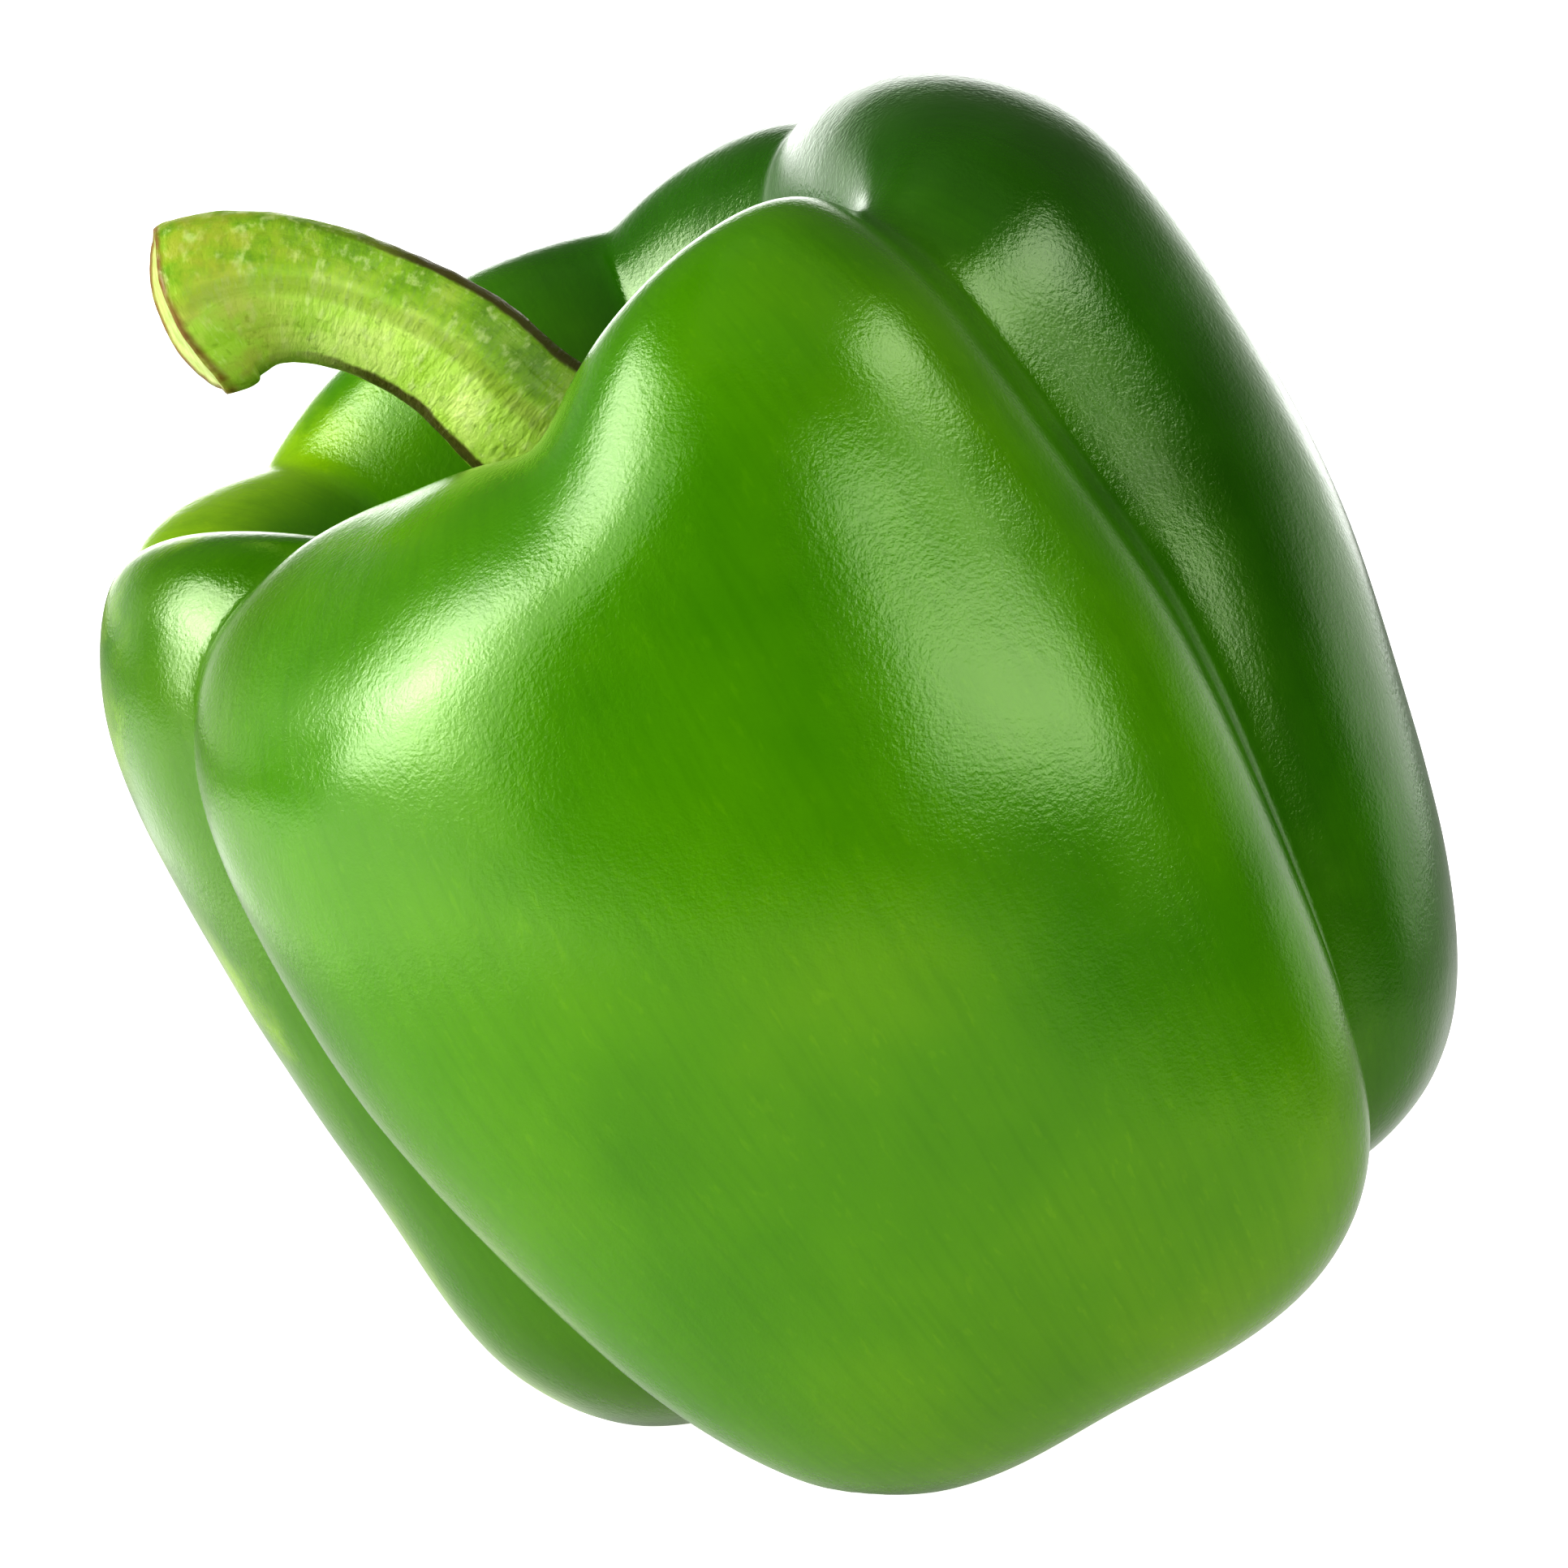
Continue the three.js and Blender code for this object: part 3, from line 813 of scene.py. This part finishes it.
rind = bpy.data.materials.new("stem_rind")
apply_tree(stem, stem_tree(), Path=stem_path, Rind=rind)
bpy.data.objects.remove(stem_path)
stem.data.transform(PLACE)
print("stem", len(stem.data.polygons), "faces", lowest_and_highest(stem.data))


# %% [markdown]
# ## Skin, as a material
#
# Pepper skin is a smooth wax coat over deep green flesh. The wax gives a clear, slightly soft
# highlight, and fine pebbling breaks it into grain. Painted shade darkens the right and rear lobes,
# and the left lobe beside the front crease. The small left lobe is turning yellow and is painted
# lighter, as painted light. The shoulders are darker than the sides and the feet are yellower.
# Faint streaks run from the stem to the blossom end.

# %% Helpers for materials
def principled(material):
    """An empty material with one shader, ready to be fed."""
    material.use_nodes = True
    material.node_tree.nodes.clear()
    hand = Tree(material.node_tree)
    shader = hand.node("ShaderNodeBsdfPrincipled")
    output = hand.node("ShaderNodeOutputMaterial")
    hand.feed(output.inputs["Surface"], shader.outputs[0])
    return hand, shader


def ramp(hand, factor, stops):
    made = hand.node("ShaderNodeValToRGB")
    hand.feed(made.inputs[0], factor)
    elements = made.color_ramp.elements
    while len(elements) < len(stops):
        elements.new(0.5)
    for element, (place, color) in zip(elements, stops):
        element.position = place
        element.color = (*color, 1.0)
    return made.outputs[0]


def blend(hand, factor, a, b, mode="MIX"):
    made = hand.node("ShaderNodeMix", data_type="RGBA", blend_type=mode)
    hand.feed(made.inputs[0], factor)
    for socket, value in zip(made.inputs[6:8], (a, b)):
        hand.feed(socket, (*value, 1.0) if isinstance(value, tuple) else value)
    return made.outputs[2]


def painted_layer(hand, name, output="Fac"):
    """Reads back what closed_mesh stored on the piece."""
    return hand.node("ShaderNodeAttribute", attribute_name=name).outputs[output]


def own_place(hand):
    """A point's place in its own piece, so a pattern stays on the piece."""
    return hand.node("ShaderNodeTexCoord").outputs["Object"]


def bumped(hand, height, strength, distance_mm):
    made = hand.node("ShaderNodeBump")
    made.inputs["Strength"].default_value = strength
    made.inputs["Distance"].default_value = distance_mm * MM
    hand.feed(made.inputs["Height"], height)
    return made.outputs[0]


def uneven_gloss(hand, shader, where, size_mm, smooth, rough):
    """Roughness that wanders between two values, in patches."""
    patches = spread(hand, noise(hand, where, size_mm), 0.3, 0.7, smooth, rough)
    hand.feed(shader.inputs["Roughness"], patches)


print("materials to paint", [material.name for material in (skin, leaf, rind)])


# %% The skin's green, which differs from side to side and from top to bottom
PAINTED_SHADE_SIDE = math.radians(25.0)  # angle of the right and rear lobes, which are painted darker as shade
LEFT_SHADE_SIDE = math.radians(194.0)  # angle of the left lobe beside the front-left crease, painted darker as shade
YELLOW_AND_LIT_SIDE = math.radians(153.0)  # angle of the small left lobe, which is turning yellow and is painted lighter as light
YELLOW_AND_LIT_GREEN = (0.36, 0.58, 0.006)
SCAR_BROWN = (0.23, 0.16, 0.05)  # the small scar at the blossom end
CLOUD_SIZE = 26.0  # mm, of the broad patches of lighter and darker green
RAGGED_SIZE = 9.0  # mm, of the waves along the border of a side
RAGGEDNESS = 0.35  # how far those waves shift the border
STREAK_SIZE, FLECK_SIZE = 0.8, 0.7  # mm, across


def near_angle(hand, flow, angle, radius):
    """1 where a surface faces the given angle about its axis, -1 on the opposite side."""
    facing = hand.measure("DOT_PRODUCT", flow, (math.cos(angle), math.sin(angle), 0))
    return hand.math("DIVIDE", facing, radius * MM)


def stretched(hand, vector, along):
    """Below 1, along draws a pattern out lengthwise; above 1, its marks lie across the piece."""
    return hand.vector("MULTIPLY", vector, (1, 1, along))


def sides_green(hand, where, flow, row):
    """Each side's green: lighter, painted shade, darker painted shade, or yellowing with painted
    light, with ragged borders between.
    """
    cloud = noise(hand, where, CLOUD_SIZE, 3.0)
    light = ramp(hand, cloud, [(0.3, (0.064, 0.235, 0.0003)), (0.55, (0.10, 0.295, 0.0003)),
                               (0.75, (0.145, 0.345, 0.0004))])
    dark = ramp(hand, cloud, [(0.3, (0.02, 0.09, 0.0003)), (0.7, (0.038, 0.165, 0.0004))])
    ragged = hand.math("MULTIPLY_ADD", noise(hand, where, RAGGED_SIZE, 4.0),
                       RAGGEDNESS, -RAGGEDNESS / 2)
    # Painted shade: the lobes on the right and behind, away from the lights, are painted a darker
    # green.
    shade = hand.plus(near_angle(hand, flow, PAINTED_SHADE_SIDE, MIDDLE_RADIUS), ragged)
    green = blend(hand, spread(hand, shade, 0.0, 0.62), light, dark)
    # Painted shade: the left lobe is darkened where it turns in behind the front lobe.
    left_shade = near_angle(hand, flow, LEFT_SHADE_SIDE, MIDDLE_RADIUS)
    green = blend(hand, spread(hand, left_shade, 0.9, 0.99, 0.0, 0.6), green,
                  (0.55, 0.55, 0.6), "MULTIPLY")
    # Partly the lobe's own yellowing, partly painted light: the small left lobe is painted brighter
    # than its lighting makes it.
    yellow_and_lit = hand.plus(near_angle(hand, flow, YELLOW_AND_LIT_SIDE, MIDDLE_RADIUS), ragged)
    outside_pit = spread(hand, row, 2.7, 3.7)
    yellow_and_lit = hand.times(spread(hand, yellow_and_lit, 0.84, 0.98, 0.0, 0.9), outside_pit)
    return blend(hand, yellow_and_lit, green, YELLOW_AND_LIT_GREEN)


def skin_green(hand, where, flow):
    """The sides' green with streaks, darker shoulders, yellower feet, flecks and the end scar."""
    row = painted_layer(hand, "row")
    green = sides_green(hand, where, flow, row)
    streak = noise(hand, stretched(hand, flow, 0.12), STREAK_SIZE, 3.0)
    fleck = noise(hand, stretched(hand, flow, 0.6), FLECK_SIZE, 3.0)
    tints = [
        (spread(hand, streak, 0.42, 0.72, 0.0, 0.2), (0.62, 0.72, 0.5)),
        (spread(hand, row, 4.0, 8.5, 0.46, 0.0), (0.5, 0.62, 0.9)),
        (spread(hand, row, 9.0, 12.5, 0.0, 0.7), (1.45, 0.98, 1.0)),
        (spread(hand, fleck, 0.6, 0.72, 0.0, 0.14), (1.9, 1.45, 1.2)),
    ]
    for amount, tint in tints:
        green = blend(hand, amount, green, tint, "MULTIPLY")
    return blend(hand, spread(hand, row, 14.72, 14.86), green, SCAR_BROWN)


# %% Paint the skin: its green, its wax and its grain
PEBBLE_SIZE, WRINKLE_SIZE = 0.36, 1.7  # mm
GRAIN_HEIGHT = 0.065  # mm


def skin_grain(hand, where, flow):
    pebble = noise(hand, where, PEBBLE_SIZE, 3.0, 0.6)
    wrinkle = noise(hand, stretched(hand, flow, 1.3), WRINKLE_SIZE, 2.0)
    height = hand.math("MULTIPLY_ADD", wrinkle, 0.5, hand.times(pebble, 0.65))
    return bumped(hand, height, 0.8, GRAIN_HEIGHT)


def paint_skin(material):
    hand, shader = principled(material)
    where = own_place(hand)
    flow = painted_layer(hand, "flow", "Vector")
    hand.feed(shader.inputs["Base Color"], skin_green(hand, where, flow))
    uneven_gloss(hand, shader, where, 6.0, 0.2, 0.27)
    shader.inputs["IOR"].default_value = 1.5
    shader.inputs["Specular Tint"].default_value = (0.7, 1.0, 0.35, 1.0)
    shader.inputs["Coat Weight"].default_value = 0.6
    shader.inputs["Coat Roughness"].default_value = 0.12
    normal = skin_grain(hand, where, flow)
    hand.feed(shader.inputs["Normal"], normal)
    hand.feed(shader.inputs["Coat Normal"], normal)


paint_skin(skin)
print("skin nodes", len(skin.node_tree.nodes))


# %% [markdown]
# ## Stem, as a material
#
# The stem is yellow-green and fibrous. The flank under its front rib is paler, thin cork lines the
# colour of wood run along the ribs, and the skin is mottled with short pale marks that lie across
# it. The cut has a brown edge. The patterns follow the stalk's own layers, so they bend with it.

# %% The rind's green, its marks and its cork lines
UPPER_RIB, FRONT_RIB, LOWER_RIB = [FIRST_RIB + k * math.tau / STEM_RIBS for k in range(3)]
BELLY = (FRONT_RIB + LOWER_RIB) / 2  # angle of the paler flank between two ribs
CORK_BROWN = (0.075, 0.045, 0.012)
RIM_BROWN = (0.23, 0.13, 0.025)
MARK_SIZE, PIT_SIZE = 1.5, 0.8  # mm, of the pale marks and of the dark pits


def rind_green(hand, where, flow, along, marks):
    cloud = noise(hand, where, 4.0, 4.0, 0.6)
    pale = ramp(hand, cloud, [(0.3, (0.38, 0.62, 0.04)), (0.5, (0.50, 0.75, 0.12)),
                              (0.7, (0.66, 0.84, 0.24))])
    olive = ramp(hand, cloud, [(0.3, (0.14, 0.30, 0.012)), (0.5, (0.28, 0.50, 0.03)),
                               (0.7, (0.42, 0.60, 0.07))])
    belly = near_angle(hand, flow, BELLY, STEM_RADIUS)
    green = blend(hand, spread(hand, belly, 0.55, 0.9), olive, pale)
    green = blend(hand, spread(hand, marks, 0.5, 0.72, 0.0, 0.6), green, (0.66, 0.80, 0.32))
    pits = noise(hand, stretched(hand, flow, 0.8), PIT_SIZE, 3.0, 0.6)
    green = blend(hand, spread(hand, pits, 0.55, 0.75, 0.0, 0.45), green, (0.16, 0.30, 0.01))
    old = hand.times(spread(hand, along, 0.72, 0.95), spread(hand, cloud, 0.35, 0.6))
    return blend(hand, hand.times(old, 0.55), green, (0.40, 0.36, 0.05))


def cork_lines(hand, green, where, flow, along):
    """Brown lines on the upper and lower ribs, faded near the cut, and a faint one between."""
    ragged = hand.math("MULTIPLY_ADD", noise(hand, where, 2.0, 4.0), 0.035, -0.0175)
    for rib, low, high in ((UPPER_RIB, 0.955, 0.98), (LOWER_RIB, 0.97, 0.99)):
        line = hand.plus(near_angle(hand, flow, rib, STEM_RADIUS), ragged)
        line = spread(hand, line, low, high, 0.0, 0.9)
        line = hand.times(line, spread(hand, along, 0.6, 0.85, 1.0, 0.15))
        green = blend(hand, line, green, CORK_BROWN)
    line = spread(hand, near_angle(hand, flow, FRONT_RIB, STEM_RADIUS), 0.985, 1.0, 0.0, 0.5)
    return blend(hand, line, green, (0.25, 0.36, 0.02))


def cut_green(hand, green, where, along, reach, cut):
    """The paler flesh of the cut, and its browned edge."""
    face = ramp(hand, noise(hand, where, 1.2, 4.0), [(0.3, (0.38, 0.48, 0.10)),
                                                     (0.7, (0.58, 0.66, 0.24))])
    green = blend(hand, cut, green, face)
    rim = hand.times(spread(hand, along, 0.983, 0.996), spread(hand, reach, 0.80, 0.90))
    patchy = spread(hand, noise(hand, where, 1.6, 3.0), 0.25, 0.6, 0.4, 1.0)
    return blend(hand, hand.times(rim, patchy), green, RIM_BROWN)


# %% Paint the stem
def paint_rind(material):
    hand, shader = principled(material)
    where = own_place(hand)
    flow = painted_layer(hand, "flow", "Vector")
    along, reach, cut = [painted_layer(hand, name) for name in ("along", "reach", "cut")]
    marks = noise(hand, stretched(hand, flow, 2.2), MARK_SIZE, 3.0, 0.6)
    green = rind_green(hand, where, flow, along, marks)
    green = cork_lines(hand, green, where, flow, along)
    green = cut_green(hand, green, where, along, reach, cut)
    hand.feed(shader.inputs["Base Color"], green)
    uneven_gloss(hand, shader, where, 1.5, 0.34, 0.5)
    shader.inputs["IOR"].default_value = 1.45
    fibre = noise(hand, stretched(hand, flow, 0.1), 0.7, 3.0)
    across = noise(hand, stretched(hand, flow, 2.5), 1.3, 3.0)
    height = hand.math("MULTIPLY_ADD", fibre, 0.7, hand.times(across, 0.9))
    height = hand.math("MULTIPLY_ADD", marks, 0.6, height)
    hand.feed(shader.inputs["Normal"], bumped(hand, height, 0.8, 0.2))


paint_rind(rind)
print("rind nodes", len(rind.node_tree.nodes))


# %% [markdown]
# ## Calyx, as a material
#
# The calyx is a darker green than the stem, and dull where the skin shines. Its ribs are paler, and
# its edge has dried to brown.

# %% Paint the calyx
def paint_calyx(material):
    hand, shader = principled(material)
    where = own_place(hand)
    reach = painted_layer(hand, "reach")
    green = ramp(hand, noise(hand, where, 3.0, 3.0), [(0.3, (0.10, 0.25, 0.012)),
                                                      (0.7, (0.24, 0.40, 0.04))])
    rib = spread(hand, painted_layer(hand, "sepal"), 0.93, 1.0, 0.0, 0.6)
    green = blend(hand, rib, green, (0.42, 0.55, 0.12))
    green = blend(hand, spread(hand, reach, 0.82, 1.0, 0.0, 0.8), green, (0.20, 0.15, 0.04))
    hand.feed(shader.inputs["Base Color"], green)
    uneven_gloss(hand, shader, where, 1.0, 0.42, 0.6)
    hand.feed(shader.inputs["Normal"], bumped(hand, noise(hand, where, 0.6, 3.0), 0.6, 0.15))


paint_calyx(leaf)
print("calyx nodes", len(leaf.node_tree.nodes))


# %% [markdown]
# ## Each piece on its body, in place of its CAD solid
#
# Every piece rides on a body of the CAD model and stands for a node of it. The pepper has no
# joints, so there is one body, and each Blender piece replaces the plain solid of the same thing.

# %% Ride and replace
PIECES = [(fruit, "fruit", "skin"), (calyx, "calyx", "calyx"), (stem, "stem", "stem")]
for piece, node, slot in PIECES:
    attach(piece, "root")
    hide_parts(node)
    print(piece.name, "stands for", node)


# %% [markdown]
# ## Floor
#
# The pepper rests on a wide white sheet. To the camera the sheet is plain white. To the pepper it
# is dimmer, or the wax would mirror a bright band, but it glows a little close by, which lights
# the pepper's underside.

# %% Floor
FLOOR_HALF = 8.0  # m
SHEET_SEEN = (0.9, 0.9, 0.9)
SHEET_REFLECTED = (0.62, 0.63, 0.60)  # dimmer, so the skin mirrors it only softly
SHEET_GLOW = 0.75  # keeps the sheet white far from the lights
SHEET_GLOW_REFLECTED = 0.24  # lights the pepper's underside, as a sheet lit from below does
SHEET_GLOW_REACH = 0.45  # m, how far from the pepper that light dies out
SHEET_GLOW_FAR = 0.02  # what is left of it there


def make_floor():
    mesh = bpy.data.meshes.new("floor")
    corners = [(-FLOOR_HALF, -FLOOR_HALF, 0), (FLOOR_HALF, -FLOOR_HALF, 0),
               (FLOOR_HALF, FLOOR_HALF, 0), (-FLOOR_HALF, FLOOR_HALF, 0)]
    mesh.from_pydata(corners, [], [(0, 1, 2, 3)])
    material = bpy.data.materials.new("white_sheet")
    hand, shader = principled(material)
    seen = hand.node("ShaderNodeLightPath").outputs["Is Camera Ray"]
    shader.inputs["Roughness"].default_value = 0.8
    hand.feed(shader.inputs["Base Color"], blend(hand, seen, SHEET_REFLECTED, SHEET_SEEN))
    away = hand.measure("LENGTH", own_place(hand))
    nearby = spread(hand, away, 0.0, SHEET_GLOW_REACH, SHEET_GLOW_REFLECTED, SHEET_GLOW_FAR)
    shader.inputs["Emission Color"].default_value = (1, 1, 1, 1)
    hand.feed(shader.inputs["Emission Strength"], spread(hand, seen, 0, 1, nearby, SHEET_GLOW))
    mesh.materials.append(material)
    return into_scene("floor", mesh)


floor = make_floor()
print("floor", 2 * FLOOR_HALF, "m wide")


# %% [markdown]
# ## Light
#
# Everything round the pepper shows in its wax, so the surroundings are made with care. They are
# bright behind and dim in front: the folds get pale rims, while the middle of the front lobe stays
# green. Large soft boxes, to each side of the camera, give the broad pale highlights on the front
# lobe's two bulges. Two smaller ones before the left box give its highlight hot spots. A card on
# the sheet lights the left lobes from below.

# %% Surroundings
FRONT_GLOW, BACK_GLOW = 0.03, 0.8  # brightness in front of the pepper, and behind it
SKY_SHARE = 0.15  # share of the brightness that is left high up
RIM_GLOW = 1.2  # extra brightness straight behind, which draws thin white rims on the folds


def make_world():
    world = bpy.data.worlds.new("studio")
    bpy.context.scene.world = world
    world.use_nodes = True
    world.node_tree.nodes.clear()
    hand = Tree(world.node_tree)
    direction = hand.node("ShaderNodeTexCoord").outputs["Generated"]
    parts = hand.node("ShaderNodeSeparateXYZ")
    hand.feed(parts.inputs[0], direction)
    backwards, upwards = parts.outputs["Y"], parts.outputs["Z"]
    glow = spread(hand, backwards, 0.1, 0.4, FRONT_GLOW, BACK_GLOW)
    glow = hand.times(glow, spread(hand, upwards, 0.1, 0.5, 1.0, SKY_SHARE))
    glow = hand.plus(glow, spread(hand, backwards, 0.88, 0.97, 0.0, RIM_GLOW))
    seen = hand.node("ShaderNodeLightPath").outputs["Is Camera Ray"]
    unseen = hand.minus(1.0, seen)
    strength = hand.plus(hand.times(glow, unseen), seen)
    background = hand.node("ShaderNodeBackground")
    background.inputs["Color"].default_value = (1, 1, 1, 1)
    hand.feed(background.inputs["Strength"], strength)
    output = hand.node("ShaderNodeOutputWorld")
    hand.feed(output.inputs["Surface"], background.outputs[0])
    return world


world = make_world()
print("surroundings", world.name)


# %% Soft boxes
pepper_middle = (Vector(cad_bounds[0]) + Vector(cad_bounds[1])) / 2


def area_light(name, width, height, power):
    data = bpy.data.lights.new(name, "AREA")
    data.shape = "RECTANGLE"
    data.size, data.size_y = width, height
    data.energy = power
    return into_scene(name, data)


def soft_box(name, azimuth, elevation, distance, width, height, power):
    """azimuth runs from the front towards the right, in degrees, as seen by the camera."""
    turn, rise = math.radians(azimuth), math.radians(elevation)
    level = math.cos(rise)
    away = Vector((math.sin(turn) * level, -math.cos(turn) * level, math.sin(rise)))
    light = area_light(name, width, height, power)
    light.location = pepper_middle + away * distance
    light.rotation_euler = away.to_track_quat("Z", "Y").to_euler()
    return light


# Each has its azimuth and elevation (degrees), then distance, width and height (m), and power.
SOFT_BOXES = {
    "left_box": (-68, 20, 0.8, 0.64, 0.62, 2.5),
    "left_hot_high": (-84, 29, 0.75, 0.36, 0.34, 1.8),
    "left_hot_low": (-73, 15, 0.75, 0.34, 0.32, 1.6),
    "right_box": (40, 26, 0.85, 0.7, 0.38, 2.9),
    "right_high": (70, 52, 0.85, 0.4, 0.25, 1.2),
    "top_box": (-20, 80, 1.0, 0.9, 0.9, 0.5),
}
for name, settings in SOFT_BOXES.items():
    light = soft_box(name, *settings)
    print(name, "at", [round(v, 2) for v in light.location])


# %% A bright card on the sheet to the left, facing up
CARD_PLACE = (-0.25, -0.03, 0.004)  # m
card = area_light("left_card", 0.3, 0.36, 0.2)
card.location = CARD_PLACE
card.rotation_euler = (math.pi, 0, 0)
print(card.name, "at", CARD_PLACE)


# %% [markdown]
# ## Camera
#
# The camera stands a little higher than the pepper's middle and looks down at it. The point that
# it is aimed from is 45 mm up the pepper's own axis. The lens is worked out from how wide the view
# has to be at that distance.

# %% Camera
CAMERA_RISE = math.radians(7.3)
CAMERA_DISTANCE = 0.62  # m
SENSOR = 36.0  # mm, width of the camera's sensor
FRAME_WIDTH = 0.119  # m, width of the view at the pepper
LOOK_OFFSET = Vector((-0.0037, 0, 0.0008))  # the view's middle from the pepper's own middle
PIVOT = PLACE @ (Vector((0, 0, 45)) * MM)  # the point inside the pepper


def make_camera():
    data = bpy.data.cameras.new("camera")
    data.sensor_width = SENSOR
    data.lens = SENSOR * CAMERA_DISTANCE / FRAME_WIDTH
    camera = into_scene("camera", data)
    away = Vector((0, -math.cos(CAMERA_RISE), math.sin(CAMERA_RISE)))
    camera.location = PIVOT + LOOK_OFFSET + away * CAMERA_DISTANCE
    camera.rotation_euler = (math.pi / 2 - CAMERA_RISE, 0, 0)
    bpy.context.scene.camera = camera
    return camera


camera = make_camera()
bpy.context.scene.view_settings.view_transform = "Standard"
bpy.context.scene.view_settings.look = "High Contrast"
print("camera at", [round(v, 4) for v in camera.location])


# %% [markdown]
# ## Last step
#
# Last, the scene is brought up to date.

# %% Finish
bpy.context.view_layer.update()
